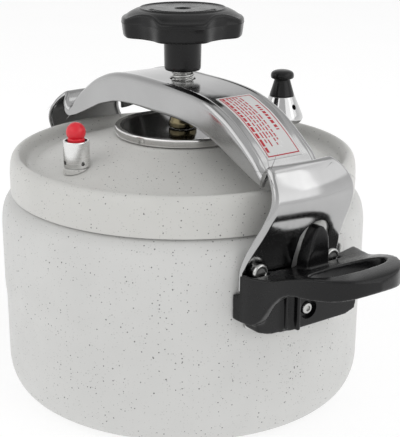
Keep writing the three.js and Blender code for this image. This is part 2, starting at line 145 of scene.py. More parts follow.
def curve_through(points, steps):
    """Points of a smooth Catmull-Rom curve through the given ones, with steps for each stretch."""
    made = []
    last = len(points) - 1
    for i in range(last):
        p0, p1 = points[max(i - 1, 0)], points[i]
        p2, p3 = points[i + 1], points[min(i + 2, last)]
        for k in range(steps):
            t = k / steps
            made.append(tuple(
                0.5 * (2 * b + (c - a) * t + (2 * a - 5 * b + 4 * c - d) * t * t
                       + (3 * b - a - 3 * c + d) * t ** 3)
                for a, b, c, d in zip(p0, p1, p2, p3)))
    made.append(tuple(points[-1]))
    return made


def held(outline, loop, hold=0.4):
    """Adds a point close to each end of the long stretches of an outline, so that flats shade flat."""
    points = []
    following = outline[1:] + ([outline[0]] if loop else [])
    for a, b in zip(outline, following):
        points.append(a)
        length = math.dist(a, b)
        if length > 4 * hold:
            for share in (hold / length, 1 - hold / length):
                points.append((a[0] + (b[0] - a[0]) * share, a[1] + (b[1] - a[1]) * share))
    return points if loop else points + [outline[-1]]


def spin(name, outline, steps=96, centre=(0.0, 0.0), loop=False):
    """Revolves an outline of (radius, z) points about the vertical through centre."""
    outline = held(outline, loop)
    verts, faces, rings = [], [], []
    for radius, z in outline:
        if radius < 1e-6:
            rings.append([len(verts)])
            verts.append((centre[0], centre[1], z))
            continue
        rings.append(list(range(len(verts), len(verts) + steps)))
        for i in range(steps):
            angle = i * math.tau / steps
            verts.append((centre[0] + radius * math.cos(angle), centre[1] + radius * math.sin(angle), z))
    following = rings[1:] + ([rings[0]] if loop else [])
    for low, high in zip(rings, following):
        for i in range(steps):
            j = (i + 1) % steps
            corners = [low[i % len(low)], low[j % len(low)], high[j % len(high)], high[i % len(high)]]
            corners = list(dict.fromkeys(corners))
            if len(corners) > 2:
                faces.append(corners)
    return mesh_object(name, verts, faces)


def rod(radius, low, high, steps=48, centre=(0.0, 0.0)):
    """An upright cylinder, to cut with."""
    return spin("tool", [(0, low), (radius, low), (radius, high), (0, high)], steps=steps, centre=centre)


def outwards(piece, y, z):
    """Turns a piece spun about Z so that it points out along +X, at tangential place y and height z."""
    piece.data.transform(Matrix.Translation((0, y * MM, z * MM)) @ ALONG_X)
    return piece


def turned_copy(piece, name):
    """The same piece on the other side of the pot."""
    twin = bpy.data.objects.new(name, piece.data.copy())
    twin.data.name = name
    twin.data.transform(HALF_TURN)
    bpy.context.collection.objects.link(twin)
    return twin


def settle(piece):
    """Applies a piece's modifiers to its mesh."""
    bpy.context.view_layer.update()
    made = bpy.data.meshes.new_from_object(piece.evaluated_get(bpy.context.evaluated_depsgraph_get()))
    old = piece.data
    piece.modifiers.clear()
    piece.data = made
    made.name = old.name
    bpy.data.meshes.remove(old)


def cut(piece, cutters, angle=38.0):
    """Cuts other meshes out of a piece, and removes them."""
    for cutter in cutters:
        modifier = piece.modifiers.new("cut", "BOOLEAN")
        modifier.operation = "DIFFERENCE"
        modifier.solver = "EXACT"
        modifier.object = cutter
    settle(piece)
    for cutter in cutters:
        bpy.data.objects.remove(cutter)
    tidy_mesh(piece, angle)


def prism(name, outline, axis, low, high):
    """A prism along an axis, from low to high, with its outline in the other two coordinates."""
    count = len(outline)
    place = {"x": lambda a, b, c: (c, a, b),
             "y": lambda a, b, c: (a, c, b),
             "z": lambda a, b, c: (a, b, c)}[axis]
    verts = [place(a, b, low) for a, b in outline] + [place(a, b, high) for a, b in outline]
    faces = [list(range(count)), list(range(count, 2 * count))]
    faces += [[i, (i + 1) % count, count + (i + 1) % count, count + i] for i in range(count)]
    return mesh_object(name, verts, faces)


def side_drills(radius, reach, z, centre_y, first_angle, count=4):
    """Cylinders pointing out from a vertical axis on the Y axis, to drill vents."""
    drills = []
    for i in range(count):
        drill = rod(radius, 0, reach, 32)
        aim = Matrix.Rotation(math.radians(first_angle + i * 360 / count), 4, "Z") @ ALONG_X
        drill.data.transform(Matrix.Translation((0, centre_y * MM, z * MM)) @ aim)
        drills.append(drill)
    return drills


# ---- material helpers
def new_material(name, color, roughness, metallic=0.0, **constants):
    """A principled material; constants are sockets that stay one value all over."""
    made = bpy.data.materials.new(name)
    made.use_nodes = True
    shader = made.node_tree.nodes["Principled BSDF"]
    shader.inputs["Base Color"].default_value = (*color, 1.0)
    shader.inputs["Roughness"].default_value = roughness
    shader.inputs["Metallic"].default_value = metallic
    for socket, value in constants.items():
        shader.inputs[socket.replace("_", " ")].default_value = value
    return made


def node(material, kind, inputs=None, **settings):
    """Adds a shader node; an input that is a socket is linked, and anything else is set."""
    made = material.node_tree.nodes.new(kind)
    for setting, value in settings.items():
        setattr(made, setting, value)
    for key, value in (inputs or {}).items():
        if isinstance(value, bpy.types.NodeSocket):
            material.node_tree.links.new(value, made.inputs[key])
        else:
            made.inputs[key].default_value = value
    return made


def feed(material, socket, output):
    shader = material.node_tree.nodes["Principled BSDF"]
    material.node_tree.links.new(output, shader.inputs[socket])


def object_place(material):
    return node(material, "ShaderNodeTexCoord").outputs["Object"]


def noise(material, scale, detail=3.0, rough=0.55, stretch=None):
    place = object_place(material)
    if stretch:
        place = node(material, "ShaderNodeMapping", {"Vector": place, "Scale": stretch}).outputs[0]
    made = node(material, "ShaderNodeTexNoise",
                {"Vector": place, "Scale": scale, "Detail": detail, "Roughness": rough})
    return made.outputs[0]


def ramp(material, value, from_low, from_high, to_low, to_high, smooth=False):
    kind = "SMOOTHSTEP" if smooth else "LINEAR"
    made = node(material, "ShaderNodeMapRange",
                {"Value": value, "From Min": from_low, "From Max": from_high, "To Min": to_low,
                 "To Max": to_high},
                interpolation_type=kind)
    return made.outputs["Result"]


def math_node(material, operation, first, second=0.0):
    return node(material, "ShaderNodeMath", {0: first, 1: second}, operation=operation).outputs[0]


def mix(material, factor, first, second):
    made = node(material, "ShaderNodeMix", {0: factor, 6: first, 7: second}, data_type="RGBA")
    return made.outputs[2]


def bumped(material, layers):
    """Stacks bump layers of (height socket, strength, distance in millimetres) on the shader."""
    normal = None
    for height, strength, distance in layers:
        inputs = {"Height": height, "Strength": strength, "Distance": distance * MM}
        if normal:
            inputs["Normal"] = normal
        normal = node(material, "ShaderNodeBump", inputs).outputs[0]
    feed(material, "Normal", normal)


def shade(color, amount):
    return (*(channel * amount for channel in color), 1.0)


# ---- materials
def specks(material, cell, radius, share, seed):
    """Round specks: one in each chosen cell of a Voronoi grid with cells of that size in millimetres."""
    place = node(material, "ShaderNodeMapping",
                 {"Vector": object_place(material), "Location": (seed, seed * 2, 0)})
    cells = node(material, "ShaderNodeTexVoronoi",
                 {"Vector": place.outputs[0], "Scale": 1.0 / (cell * MM), "Randomness": 1.0})
    chosen = node(material, "ShaderNodeSeparateColor", {"Color": cells.outputs["Color"]})
    size = ramp(material, chosen.outputs[1], 0, 1, radius * 0.45 / cell, radius / cell)
    inside = math_node(material, "LESS_THAN", cells.outputs["Distance"], size)
    kept = math_node(material, "LESS_THAN", chosen.outputs[0], share)
    return math_node(material, "MULTIPLY", inside, kept)


def speckled_coat(name, color, roughness):
    """Baked coat: pale grey, cloudy, with fine dark specks and a slight orange peel."""
    coat = new_material(name, color, roughness, IOR=1.45)
    cloud = ramp(coat, noise(coat, 26), 0.3, 0.7, 0, 1)
    base = mix(coat, cloud, shade(color, 0.965), shade(color, 1.02))
    faint = specks(coat, 1.5, 0.36, 0.6, 3.0)
    dark = specks(coat, 2.7, 0.50, 0.5, 11.0)
    base = mix(coat, math_node(coat, "MULTIPLY", faint, 0.38), base, shade(color, 0.3))
    base = mix(coat, math_node(coat, "MULTIPLY", dark, 0.86), base, (0.045, 0.045, 0.05, 1))
    feed(coat, "Base Color", base)
    feed(coat, "Roughness", ramp(coat, noise(coat, 90, 4), 0.3, 0.7, roughness - 0.05, roughness + 0.07))
    bumped(coat, [(noise(coat, 900, 2), 0.10, 0.06), (noise(coat, 160, 3), 0.08, 0.15),
                  (math_node(coat, "ADD", faint, dark), 0.25, 0.04)])
    return coat


def chrome_plate(name, color, low, high):
    """Bright plating with faint wipe marks and small pits."""
    plate = new_material(name, color, low, 1.0)
    wipes = noise(plate, 60, 5, 0.65, stretch=(1.0, 5.0, 1.0))
    feed(plate, "Roughness", ramp(plate, wipes, 0.35, 0.75, low, high))
    cloud = ramp(plate, noise(plate, 30), 0.3, 0.7, 0, 1)
    feed(plate, "Base Color", mix(plate, cloud, shade(color, 0.94), shade(color, 1.03)))
    bumped(plate, [(noise(plate, 45, 2), 0.05, 0.35), (noise(plate, 1600, 2), 0.02, 0.02)])
    return plate


def turned_metal(name, color, low, high, centre=(0.0, 0.0), groove=1700.0, painted_reflection_radius=0.0):
    """Metal finished on a lathe: fine rings about a vertical axis, and a painted dark reflection inside a
    radius.
    """
    metal = new_material(name, color, low, 1.0)
    place = node(metal, "ShaderNodeMapping",
                 {"Vector": object_place(metal), "Location": (-centre[0] * MM, -centre[1] * MM, 0)})
    parts = node(metal, "ShaderNodeSeparateXYZ", {"Vector": place.outputs[0]})
    square = math_node(metal, "ADD", math_node(metal, "POWER", parts.outputs[0], 2.0),
                       math_node(metal, "POWER", parts.outputs[1], 2.0))
    radius = math_node(metal, "SQRT", square)
    across = node(metal, "ShaderNodeCombineXYZ", {"X": radius, "Y": parts.outputs[2]})
    rings = node(metal, "ShaderNodeTexNoise", {"Vector": across.outputs[0], "Scale": groove, "Detail": 4.0})
    feed(metal, "Roughness", ramp(metal, rings.outputs[0], 0.3, 0.7, low, high))
    stain = ramp(metal, noise(metal, 70, 4), 0.35, 0.75, 0, 1)
    base = mix(metal, stain, shade(color, 1.03), shade(color, 0.88))
    # painted reflection: the face inside this radius is darkened to 0.14 of the metal's colour
    if painted_reflection_radius:
        inside = ramp(metal, radius, (painted_reflection_radius - 0.6) * MM, painted_reflection_radius * MM, 0, 1)
        base = mix(metal, inside, shade(color, 0.14), base)
    feed(metal, "Base Color", base)
    bumped(metal, [(rings.outputs[0], 0.12, 0.05)])
    return metal


def moulded(name, color, roughness, **constants):
    """Pressed plastic: near even colour, soft sink marks, fine grain, and scuffs that catch the light."""
    plastic = new_material(name, color, roughness, **constants)
    scuff = ramp(plastic, noise(plastic, 420, 6, 0.7), 0.62, 0.8, 0, 1)
    feed(plastic, "Base Color", mix(plastic, scuff, shade(color, 1.0), shade(color, 1.7)))
    feed(plastic, "Roughness",
         ramp(plastic, noise(plastic, 130, 5), 0.3, 0.7, roughness - 0.06, roughness + 0.08))
    bumped(plastic, [(noise(plastic, 55, 2), 0.06, 0.4), (noise(plastic, 1500, 3), 0.05, 0.04)])
    return plastic


COAT = speckled_coat("pot_coat", (0.58, 0.58, 0.568), 0.42)
# painted shade: the lid's coat is the pot's coat with its colour set a little darker
SHADED_LID_COAT = speckled_coat("lid_coat", (0.56, 0.557, 0.536), 0.34)
CHROME = chrome_plate("chrome", (0.43, 0.43, 0.43), 0.12, 0.2)
STEEL = chrome_plate("steel", (0.50, 0.50, 0.49), 0.16, 0.30)
# the disc's face inside 39.4 mm carries a painted dark reflection of the yoke's underside; only its rim stays
# bright
DISC_STEEL = turned_metal("polished_plate", (0.78, 0.77, 0.76), 0.06, 0.14, painted_reflection_radius=39.4)
BRASS = turned_metal("brass", (0.17, 0.145, 0.085), 0.14, 0.26)
VALVE_ALUMINIUM = turned_metal("valve_aluminium", (0.78, 0.78, 0.77), 0.16, 0.3, (0.0, VALVE_Y))
WEIGHT_CHROME = turned_metal("weight_chrome", (0.58, 0.58, 0.58), 0.07, 0.14, (0.0, WEIGHT_Y))
RIVET_ALUMINIUM = chrome_plate("rivet_aluminium", (0.75, 0.75, 0.74), 0.25, 0.4)
BAKELITE = moulded("bakelite", (0.0045, 0.0045, 0.0048), 0.24, IOR=1.36)
RUBBER = moulded("gasket_rubber", (0.16, 0.16, 0.16), 0.62)
SILICONE = moulded("red_silicone", (0.66, 0.012, 0.026), 0.36)
FILM = moulded("label_film", (0.58, 0.58, 0.575), 0.42)
PRINT = moulded("label_print", (0.40, 0.008, 0.020), 0.45)


# ---- pot
def pot():
    outer = [
        (0, 0), (POT_R - 16.4, 0, 4), (POT_R - 5.6, 4.2, 6), (POT_R - 0.9, 15.5, 7), (POT_R - 0.9, 64, 3),
        (POT_R, 73, 3), (POT_R, 117.5, 6), (POT_R - 2, 126.4, 6), (POT_R - 7.8, 132, 3),
        (POT_R - 10.2, 133.4, 1.6), (POT_R - 10.2, RIM_Z, 1.2),
    ]
    inner = [
        (POT_R - 12.9, RIM_Z, 1.2), (POT_R - 12.9, 133.4, 3), (POT_R - 5.6, 127, 6), (POT_R - 2.9, 117, 5),
        (POT_R - 2.9, 73.4, 3), (POT_R - 3.8, 64.4, 3), (POT_R - 3.8, 17.5, 7), (POT_R - 7.8, 6.8, 6),
        (POT_R - 16.6, 3.1, 4), (0, 3.1),
    ]
    turned("pot_body", outer + inner, "pot", "pot_coat", COAT, steps=256, corner=6)


# ---- lid
GROOVE_R = SKIRT_R - 13.1
GROOVE_Z = CROWN_Z - 18.2
LID_T = 2.3


def slope_z(radius):
    """Height of the lid's outer surface on its cone."""
    inner = DISC_R + 1.7
    return CROWN_Z - 0.4 - (radius - inner) / (GROOVE_R - 2 - inner) * (CROWN_Z - 0.4 - GROOVE_Z)


def lid():
    rim_r = SKIRT_R - 5.4
    outer = [
        (SKIRT_R - 0.2, SKIRT_Z + 0.1, 0.6), (SKIRT_R - 0.2, 149, 6), (SKIRT_R - 1.6, 156.4, 4),
        (rim_r, 159, 4), (rim_r - 3, 156.2, 3), (GROOVE_R + 2.4, GROOVE_Z + 1.4, 2),
        (GROOVE_R, GROOVE_Z, 1.4), (GROOVE_R - 3, GROOVE_Z + 0.3, 2), (DISC_R + 1.7, CROWN_Z - 0.4, 3),
        (DISC_R - 4, CROWN_Z, 3), (3.9, CROWN_Z, 0.3),
    ]
    under = [
        (3.9, CROWN_Z - LID_T, 0.3), (DISC_R - 4, CROWN_Z - LID_T, 3),
        (GROOVE_R - 3.4, GROOVE_Z - LID_T + 0.2, 2), (GROOVE_R + 1.4, GROOVE_Z - LID_T, 1.4),
        (GROOVE_R + 4, GROOVE_Z, 2), (rim_r - 1.4, 154.8, 2), (rim_r + 0.4, 156.6, 2),
        (SKIRT_R - 3.4, 154.6, 3), (SKIRT_R - 2.5, 149, 4), (SKIRT_R - 2.5, SKIRT_Z + 0.1, 0.6),
    ]
    shell = spin("lid_shell_finish", soften(outer + under, loop=True, steps=6), steps=256, loop=True)
    drills = []
    for y in (VALVE_Y, WEIGHT_Y):
        drills.append(rod(4.9, 130, 190, centre=(0, y)))
    cut(shell, drills)
    # the lid wears the pot's coat with painted shade, a little darker
    dress(shell, "lid", "lid_coat", SHADED_LID_COAT, "lid_shell")


def gasket():
    low, high = span("lid_gasket")
    outer, inner = high.x - 0.1, high.x - 5.1
    section = [
        (inner, low.z + 0.1, 0.8), (inner + 2.0, low.z + 0.1, 0.4), (inner + 2.6, low.z + 1.6, 0.6),
        (inner + 3.2, low.z + 0.1, 0.4), (outer, low.z + 0.1, 0.8), (outer, 152.0, 1),
        (outer - 1.6, high.z, 1.2), (inner + 1.3, high.z, 1), (inner, 152.4, 1),
    ]
    turned("lid_gasket", section, "lid", "gasket_rubber", RUBBER, steps=192, loop=True, corner=4)


def pressure_disc():
    low, top = DISC_LOW.z, DISC_HIGH.z
    outline = [
        (3.8, low, 0.2), (DISC_R, low, 0.7), (DISC_R, top, 0.8), (DISC_R - 3.6, top - 0.1, 0.6),
        (DISC_R - 5, top - 1.0, 0.8), (20, top - 1.7, 4), (7.6, top - 2.2, 0.2), (3.8, low + 1.2, 0.2),
    ]
    turned("pressure_disc", outline, "lid", "polished_plate", DISC_STEEL, steps=192, loop=True)
    bolt_low, bolt_high = span("disc_bolt")
    bolt = [(0, bolt_low.z), (3.4, bolt_low.z, 0.5), (3.4, 169.2, 0.4), (6, bolt_high.z, 0.2),
            (0, bolt_high.z)]
    turned("disc_bolt", bolt, "lid", "steel", STEEL, steps=64)
    ring_low, ring_high = span("disc_bolt_washer")
    washer = [(4, ring_low.z), (9, ring_low.z, 0.3), (9, ring_high.z, 0.3), (4, ring_high.z)]
    turned("disc_bolt_washer", washer, "lid", "steel", STEEL, steps=64, loop=True)


def hex_nut(name, node_name, bore, centre_y=0.0, body="lid"):
    """A hexagon nut with its corners turned off by a cone, as nuts are."""
    low, high = span(node_name)
    radius = (high.x - low.x) / 2
    centre = (0.0, centre_y)
    outline = [
        (bore, low.z + 0.5), (bore + 0.5, low.z), (radius * 0.86, low.z), (radius, low.z + 0.7),
        (radius, high.z - 0.7), (radius * 0.86, high.z), (bore + 0.5, high.z), (bore, high.z - 0.5),
    ]
    nut = spin(name, outline, steps=72, centre=centre, loop=True)
    flats = []
    for i in range(6):
        slab = prism("slab", [(-12, low.z - 1), (12, low.z - 1), (12, high.z + 1), (-12, high.z + 1)],
                     "x", radius * math.cos(math.pi / 6), radius + 8)
        turn = Matrix.Rotation(math.radians(30 + 60 * i), 4, "Z")
        slab.data.transform(Matrix.Translation((0, centre_y * MM, 0)) @ turn)
        flats.append(slab)
    cut(nut, flats)
    dress(nut, body, "steel", STEEL, node_name)


# ---- safety valve
def safety_valve():
    low, high = span("safety_valve_tube")
    radius = 8.25
    foot = 158.0       # the tube stands on a small boss of the lid
    outline = [
        (0, foot), (radius - 1.2, foot), (radius - 1.2, foot + 0.7), (radius, foot + 0.8, 0.2),
        (radius, high.z, 0.7), (6.9, high.z, 0.4), (6.9, high.z - 7.5, 0.5), (0, high.z - 8),
    ]
    tube = spin("tube", soften(outline, steps=4), steps=96, centre=(0, VALVE_Y))
    cut(tube, side_drills(1.35, 12, 161.6, VALVE_Y, -92) + [lid_cutter()])
    outline = [(0, 148), (radius + 0.4, 148), (radius + 0.4, foot - 0.1, 0.6), (0, foot - 0.1)]
    boss = spin("valve_boss", soften(outline), steps=96, centre=(0, VALVE_Y))
    cut(boss, [lid_cutter()])
    # the boss shares the lid's coat and its painted shade
    dress(boss, "lid", "lid_coat", SHADED_LID_COAT)
    stem = spin("stem", soften([(0, low.z), (4.5, low.z, 0.5), (4.5, 161), (0, 161)]), steps=64,
                centre=(0, VALVE_Y))
    tube = join("safety_valve_tube_finish", [tube, stem])
    dress(tube, "lid", "bright_aluminium", VALVE_ALUMINIUM, "safety_valve_tube")

    ball_low, ball_high = span("safety_plug")
    r = (ball_high.x - ball_low.x) / 2
    ball_z = ball_high.z - r
    crown = [(r * math.cos(math.radians(a)), ball_z + r * math.sin(math.radians(a)))
             for a in range(-38, 86, 4)]
    outline = soften([(0, ball_low.z), (4.6, ball_low.z, 0.6), (5.3, ball_low.z + 1.4, 0.6),
                      (5.3, ball_z - 4.4, 0.6)])
    plug = spin("safety_plug_finish", outline + crown + [(0, ball_high.z)], steps=72, centre=(0, VALVE_Y))
    dress(plug, "safety_plug", "red_silicone", SILICONE, "safety_plug")
    hex_nut("safety_valve_nut_finish", "safety_valve_nut", 4.9, VALVE_Y)


def lid_cutter():
    """Everything under the lid's outer surface, to seat upright pieces on its slope."""
    outline = [(0, 100), (GROOVE_R, 100), (GROOVE_R, slope_z(GROOVE_R - 2) + 0.05),
               (DISC_R + 1.7, CROWN_Z - 0.35), (0, CROWN_Z)]
    return spin("cutter", outline, steps=192)


# ---- vent and weight
def vent():
    low, high = span("vent_pipe")
    outline = [
        (1.4, 150), (7.4, 150), (7.4, 160.5, 0.7), (3.5, 161.6, 0.5), (3.5, 172.6, 0.6), (2.2, high.z, 0.2),
        (1.4, high.z, 0.2),
    ]
    pipe = spin("pipe", soften(outline, loop=True, steps=4), steps=64, centre=(0, WEIGHT_Y), loop=True)
    cut(pipe, [lid_cutter()])
    stem = spin("stem", soften([(1.4, low.z, 0.2), (4.5, low.z, 0.5), (4.5, 158), (1.4, 158)], loop=True),
                steps=64, centre=(0, WEIGHT_Y), loop=True)
    pipe = join("vent_pipe_finish", [pipe, stem])
    dress(pipe, "lid", "steel", STEEL, "vent_pipe")
    hex_nut("vent_pipe_nut_finish", "vent_pipe_nut", 4.9, WEIGHT_Y)

    cup_low, cup_high = span("vent_strainer")
    outline = [
        (0, cup_low.z), (8, cup_low.z, 1.4), (8, cup_high.z, 0.3), (7, cup_high.z, 0.3),
        (7, cup_low.z + 1.2, 0.8), (0, cup_low.z + 1.2),
    ]
    cup = spin("vent_strainer_finish", soften(outline, steps=4), steps=72, centre=(0, WEIGHT_Y))
    drills = []
    for ring_r, count in ((3.0, 6), (5.4, 12)):
        for i in range(count):
            angle = i * math.tau / count
            place = (ring_r * math.cos(angle), WEIGHT_Y + ring_r * math.sin(angle))
            drills.append(rod(0.6, 130, 150, 12, place))
    cut(cup, drills)
    dress(cup, "lid", "steel", STEEL, "vent_strainer")


def weight():
    low, high = span("weight_body")
    outline = [
        (4.2, low.z, 0.3), (13.0, low.z, 0.8), (15, low.z + 2.2, 1.6), (14.9, low.z + 4.6, 1.6),
        (12.2, 175.4, 3), (8.9, high.z, 0.4), (2.9, high.z, 0.2), (2.9, 175.4, 0.3), (4.2, 174.2, 0.3),
    ]
    cone = spin("weight_body_finish", soften(outline, loop=True, steps=5), steps=128, centre=(0, WEIGHT_Y),
                loop=True)
    cut(cone, side_drills(1.75, 16, 176.4, WEIGHT_Y, -83))
    dress(cone, "weight", "chrome", WEIGHT_CHROME, "weight_body")

    top = span("weight_cap")[1].z
    outline = [
        (0, 177.2), (2.5, 177.2, 0.3), (2.5, high.z + 0.3), (8.6, high.z + 0.3, 0.5), (7.2, 188, 2),
        (5.6, 193.4, 1.6), (5.5, 194.6, 0.6), (7.8, 195.2, 0.9), (8.1, 197.4, 1), (7.4, 199.4, 1.4),
        (4.6, 200.7, 2), (0, top),
    ]
    turned("weight_cap", outline, "weight", "bakelite", BAKELITE, centre=(0, WEIGHT_Y))


# ---- yoke
# The top of the yoke from the screw to a foot's lower edge:
# (out, z, half width towards -Y, half width towards +Y, depth of the side walls).
YOKE_LINE = [
    (0, YOKE_TOP, 23, 23, 19.6), (24, 204.9, 23, 23, 19.3), (45, 203.4, 23, 23, 19.2),
    (58, 200.9, 23, 23, 19.8), (68, 197.6, 23, 23, 19.4), (78, 193.2, 23, 23, 19.2),
    (90, 185.8, 23, 23, 16.8), (97, 180.8, 23, 23, 14.6), (103, 176.2, 23, 23, 12.2),
    (108, 171.6, 23, 23, 8.8), (112, 169.3, 23.4, 23.4, 7.4), (115, 170.6, 25, 24.4, 7.4),
    (118.5, 173.8, 27.2, 23.6, 6.4), (122, 176.4, 28, 20.4, 4.4), (125, 177.1, 28, 19, 3),
    (128, 175.2, 28.5, 21, 3), (131, 170.8, 29, 25.4, 3), (134.5, 164.2, 29.8, 28.6, 3),
    (136.3, 157, 31.2, 29.2, 3), (136, 149.5, 33.6, 27.6, 3), (134, 142.5, 35.4, 26.4, 3),
    (132, 137, 37, 26, 3), (128.5, 127, 40.2, 26.4, 2.6), (125.7, 118.5, 41.7, 27.6, 2.1),
    (124.8, 112, 42, 28, 2.0), (124.7, FOOT_Z + 0.1, 42, 28, 2.0),
]
SHEET_T = 2.0
BEND_R = 4.0               # rounding between the yoke's top and its side walls
STRIP_SINK = 0.5           # the flat strip on the arch is pressed in by this much
STRIP_END = 110.0          # and fades out from here
FOLD = (124.0, 136.0)      # along the line: where the side walls swing from pointing down to pointing inwards
BOW = (108.0, 132.0)       # where the sheet takes up the pot's curve
STUD_Y = (17.0, -34.0)     # tangential places of the headed studs
STUD_Z = 117.0
STUD_SEAT_R = 126.0        # radius that the studs' heads stand outside of
NOTCH_HALF = 11.0
NOTCH_MIDDLE = 0.8
NOTCH_SPRING = 133.0


def eased(value, start, end):
    t = max(0.0, min(1.0, (value - start) / (end - start)))
    return t * t * (3 - 2 * t)


def yoke_row(point, ahead, along):
    """Points across the yoke, from the lower edge of one side wall over the top to that of the other."""
    out, z, left, right, depth = point
    inward = Vector((ahead[1], -ahead[0])).normalized()
    fold = eased(along, *FOLD)
    wall = Vector((0, -1)).lerp(inward, fold).normalized()
    bend = min(BEND_R, depth * 0.86)
    sink = STRIP_SINK * (1 - eased(out, STRIP_END, STRIP_END + 5))
    sides = []
    for half in (left, right):
        flat = half - bend
        side = [(half, depth - (depth - bend) * k / 4) for k in range(4)]
        for k in range(5):
            angle = math.radians(90 * k / 4)
            side.append((half - bend * (1 - math.cos(angle)), bend * (1 - math.sin(angle))))
        side += [(flat * 0.975, 0), (flat * 0.945, sink * 0.15), (flat * 0.92, sink * 0.85),
                 (flat * 0.89, sink)]
        side += [(flat * 0.89 * (1 - k / 6), sink) for k in range(1, 7)]
        sides.append(side)
    across = [(-y, s) for y, s in sides[0]] + list(reversed(sides[1][:-1]))
    bow = eased(along, *BOW)
    points = []
    for y, s in across:
        radius = out + wall.x * s
        curved = math.sqrt(max(radius * radius - y * y, 1.0))
        points.append((radius + (curved - radius) * bow if bow else radius, y, z + wall.y * s))
    return points


def yoke_sheet():
    line = curve_through(YOKE_LINE, 4)
    rows, along = [], 0.0
    for i, point in enumerate(line):
        before, after = line[max(i - 1, 0)], line[min(i + 1, len(line) - 1)]
        if i:
            along += math.dist(point[:2], line[i - 1][:2])
        rows.append(yoke_row(point, (after[0] - before[0], after[1] - before[1]), along))
    columns = len(rows[0])
    verts = [place for row in rows for place in row]
    faces = []
    for r in range(len(rows) - 1):
        for c in range(columns - 1):
            a = r * columns + c
            faces.append((a, a + columns, a + columns + 1, a + 1))
    count = len(verts)
    verts += [(-x, -y, z) for x, y, z in verts]
    faces += [tuple(count + i for i in face) for face in faces]
    mesh = bpy.data.meshes.new("yoke_bridge_finish")
    mesh.from_pydata([Vector(v) * MM for v in verts], [], faces)
    bridge = bpy.data.objects.new("yoke_bridge_finish", mesh)
    bpy.context.collection.objects.link(bridge)
    bm = bmesh.new()
    bm.from_mesh(mesh)
    bmesh.ops.remove_doubles(bm, verts=bm.verts, dist=2e-5)
    bm.to_mesh(mesh)
    bm.free()
    bridge.modifiers.new("smooth", "SUBSURF").levels = 1
    sheet = bridge.modifiers.new("sheet", "SOLIDIFY")
    sheet.thickness = SHEET_T * MM
    sheet.offset = -1.0
    settle(bridge)
    return bridge


def stud_slot(y):
    """Entry from the foot's lower edge, and the sideways channel that a stud runs into."""
    half, low, high = 2.45, 110.6, 119.4
    end = y + half + 4.6
    return [(y - half, 90), (y + half, 90), (y + half, low, 0.8), (end, low, 2), (end, high, 2),
            (y - half, high, 1.2)]


def yoke():
    bridge = yoke_sheet()
    crown = [(NOTCH_MIDDLE + NOTCH_HALF * math.cos(math.radians(a)),
              NOTCH_SPRING + NOTCH_HALF * math.sin(math.radians(a)))
             for a in range(0, 181, 6)]
    notch = [(NOTCH_MIDDLE - NOTCH_HALF, 90), (NOTCH_MIDDLE + NOTCH_HALF, 90)] + crown
    cutters = [rod(8.3, 150, 230, 96)]
    for outline in [notch] + [soften(stud_slot(y), loop=True) for y in STUD_Y]:
        for turn in (Matrix.Identity(4), HALF_TURN):
            cutter = prism("cutter", outline, "x", 100, 150)
            cutter.data.transform(turn)
            cutters.append(cutter)
    cut(bridge, cutters, angle=30)
    bevel = bridge.modifiers.new("edge", "BEVEL")
    bevel.width = 0.42 * MM
    bevel.segments = 2
    bevel.limit_method = "ANGLE"
    bevel.angle_limit = math.radians(50)
    bevel.use_clamp_overlap = False
    settle(bridge)
    tidy_mesh(bridge, 50)
    dress(bridge, "yoke", "chrome", CHROME, "yoke_bridge")


def yoke_bush():
    low, high = span("yoke_bush")
    outline = [
        (7.8, low.z, 0.3), (10.4, low.z, 0.5), (11, low.z + 0.8, 0.3), (11, 197.6, 0.5), (15, 198.4, 0.5),
        (15, high.z, 0.4), (7.8, high.z, 0.3),
    ]
    turned("yoke_bush", outline, "yoke", "brass", BRASS, loop=True)


def arch_point(out):
    """Height of the arch's line at a distance out, and its unit direction."""
    line = curve_through([p[:2] for p in YOKE_LINE[:10]], 16)
    for a, b in zip(line, line[1:]):
        if a[0] <= out <= b[0]:
            t = (out - a[0]) / (b[0] - a[0])
            direction = Vector((b[0] - a[0], b[1] - a[1])).normalized()
            return a[1] + (b[1] - a[1]) * t, direction
    raise ValueError(out)


def arch_strip(name, outs, y0, y1, lift, thickness, steps):
    """A thin strip that lies on the arch between two distances out and two sideways places."""
    verts, faces = [], []
    for i in range(steps + 1):
        out = outs[0] + (outs[1] - outs[0]) * i / steps
        z, direction = arch_point(out)
        up = Vector((-direction.y, direction.x))
        for height in (lift, lift + thickness):
            for y in (y0, y1):
                verts.append((out + up.x * height, y, z + up.y * height))
    for i in range(steps):
        a, b = 4 * i, 4 * i + 4
        faces += [(a, a + 1, b + 1, b), (a + 2, b + 2, b + 3, a + 3), (a, b, b + 2, a + 2),
                  (a + 1, a + 3, b + 3, b + 1)]
    end = 4 * steps
    faces += [(0, 2, 3, 1), (end, end + 1, end + 3, end + 2)]
    return mesh_object(name, verts, faces)


def join(name, parts):
    """One object from several."""
    bm = bmesh.new()
    for part in parts:
        bm.from_mesh(part.data)
    joined = bpy.data.objects.new(name, bpy.data.meshes.new(name))
    bpy.context.collection.objects.link(joined)
    bm.to_mesh(joined.data)
    bm.free()
    for part in parts:
        bpy.data.objects.remove(part)
    return joined


# Rows of plain bars on the label:
# (sideways place, height of the bars, first and last distance out, longest bar).
LABEL_ROWS = [
    (-9.6, 1.8, 55.6, 100.5, 4.4), (-6.6, 0.85, 55.6, 95.0, 4.2), (-4.3, 0.85, 55.6, 98.5, 5.0),
    (-2.0, 0.85, 55.6, 92.0, 4.0), (0.3, 0.85, 55.6, 97.0, 4.6), (2.6, 0.85, 57.0, 94.0, 4.2),
    (7.6, 2.2, 67.0, 88.0, 2.6),
]


